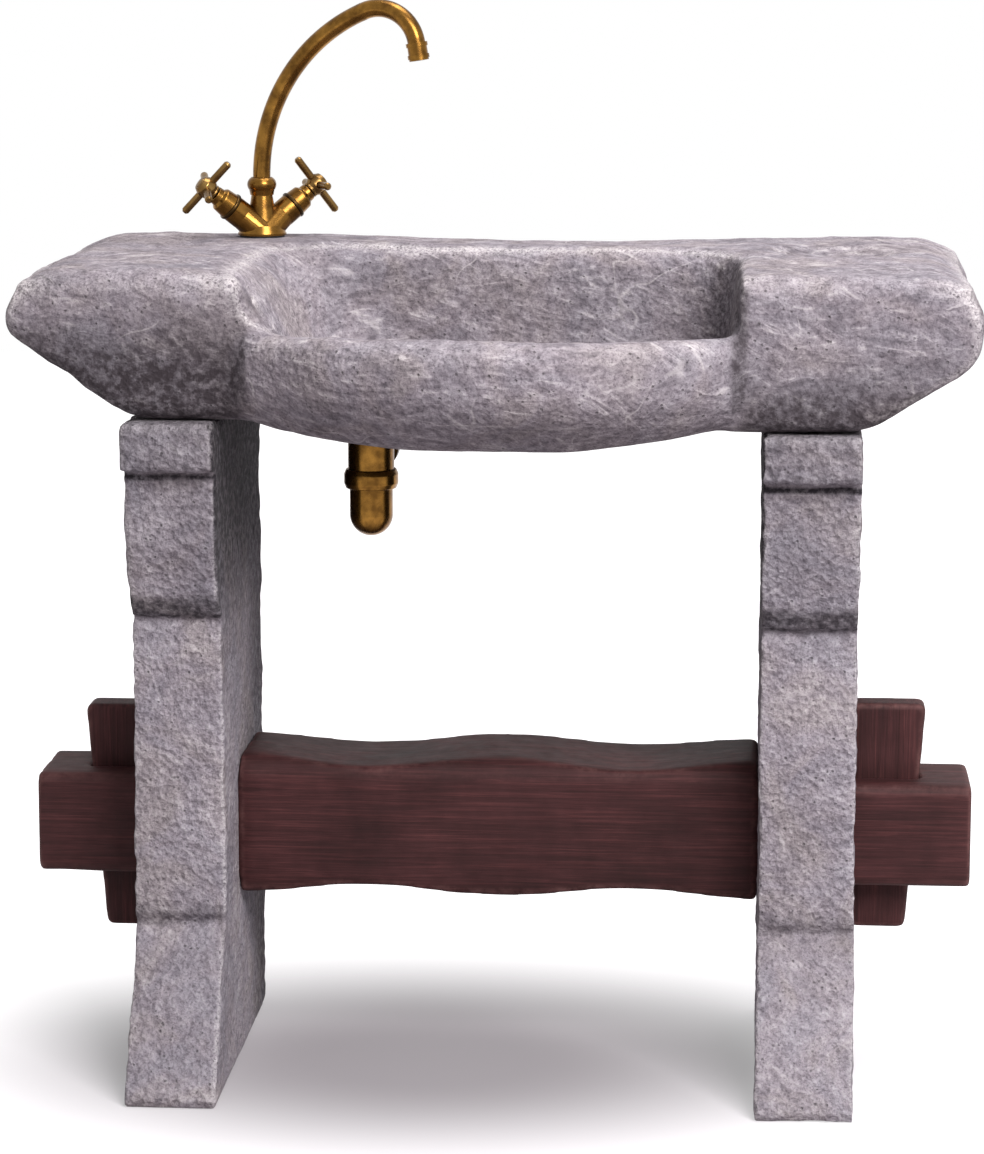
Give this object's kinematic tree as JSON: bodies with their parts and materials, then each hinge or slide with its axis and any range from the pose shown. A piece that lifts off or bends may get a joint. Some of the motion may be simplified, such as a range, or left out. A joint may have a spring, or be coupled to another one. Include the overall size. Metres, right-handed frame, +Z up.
{
  "type": "garden sink",
  "caption": "Carved stone garden sink on two stone legs tied by a wedged timber stretcher, with a two-handle brass mixer tap and a bottle trap.",
  "frame": {"origin": "on the ground under the middle of the slab and its bowed front", "axes": "+X to the right, +Y to the back, +Z up"},
  "size_m": [0.928, 0.5345, 1.0429],
  "materials": {
    "stone_top": "tooled and softly worn, matte",
    "stone_leg": "pecked, matte",
    "timber": "dark stained, satin",
    "aged_brass": "antique brass, rubbed",
    "dark_brass": "antique brass, dark patina",
    "steel": "plain",
    "rubber": "matte",
    "nylon": "natural nylon"
  },
  "bodies": {
    "sink": {"sink_top": "stone_top", "leg_left": "stone_leg", "leg_right": "stone_leg", "stretcher_beam": "timber", "tap_body": "aged_brass", "spout_nut": "aged_brass", "bonnet_left": "aged_brass", "bonnet_right": "aged_brass", "waste_strainer": "aged_brass", "waste_back_nut": "aged_brass", "trap_body": "aged_brass", "trap_dip_tube": "aged_brass", "valve_left": "dark_brass", "valve_right": "dark_brass", "collar_left": "dark_brass", "collar_right": "dark_brass", "trap_inlet_nut": "dark_brass", "outlet_nut": "dark_brass", "locating_dowels": "steel", "tap_stud": "steel", "clamp_plate": "steel", "clamp_nut": "steel", "tap_gasket": "rubber", "clamp_washer": "rubber", "waste_gasket": "rubber", "waste_back_gasket": "rubber", "trap_inlet_washer": "rubber", "outlet_washer": "rubber", "spout_bush": "nylon"},
    "wedge_left": {"wedge_left": "timber"},
    "wedge_right": {"wedge_right": "timber"},
    "spout": {"spout_tube": "aged_brass", "aerator_housing": "aged_brass", "aerator_insert": "steel"},
    "left_handle": {"spindle_left": "dark_brass", "handle_left": "aged_brass", "handle_screw_left": "steel", "handle_cap_left": "aged_brass"},
    "right_handle": {"spindle_right": "dark_brass", "handle_right": "aged_brass", "handle_screw_right": "steel", "handle_cap_right": "aged_brass"},
    "cup_seal": {"trap_cup_seal": "rubber"},
    "cup": {"trap_cup": "aged_brass"}
  },
  "joints": [
    {"name": "wedge_left_lift", "type": "slide", "parent": "sink", "child": "wedge_left", "axis": [0, 0, 1], "range_m": [0, 0.15]},
    {"name": "wedge_right_lift", "type": "slide", "parent": "sink", "child": "wedge_right", "axis": [0, 0, 1], "range_m": [0, 0.15]},
    {"name": "spout_swivel", "type": "hinge", "parent": "sink", "child": "spout", "pos_m": [-0.262, 0.2125, 0.85], "axis": [0, 0, 1], "continuous": true},
    {"name": "left_handle_turn", "type": "hinge", "parent": "sink", "child": "left_handle", "pos_m": [-0.262, 0.2125, 0.805], "axis": [-0.7021, -0.3577, 0.6157], "range_deg": [0, 90]},
    {"name": "right_handle_turn", "type": "hinge", "parent": "sink", "child": "right_handle", "pos_m": [-0.262, 0.2125, 0.805], "axis": [0.7021, 0.3577, 0.6157], "range_deg": [-90, 0]},
    {"name": "cup_drop", "type": "slide", "parent": "sink", "child": "cup_seal", "axis": [0, 0, -1], "range_m": [0, 0.0041]},
    {"name": "cup_unscrew", "type": "hinge", "parent": "cup_seal", "child": "cup", "pos_m": [-0.125, -0.0325, 0.56], "axis": [0, 0, -1], "range_deg": [0, 720]}
  ],
  "couplings": [
    {"joint": "cup_drop", "follows": "cup_unscrew", "m_per_rad": 0.00031831}
  ]
}
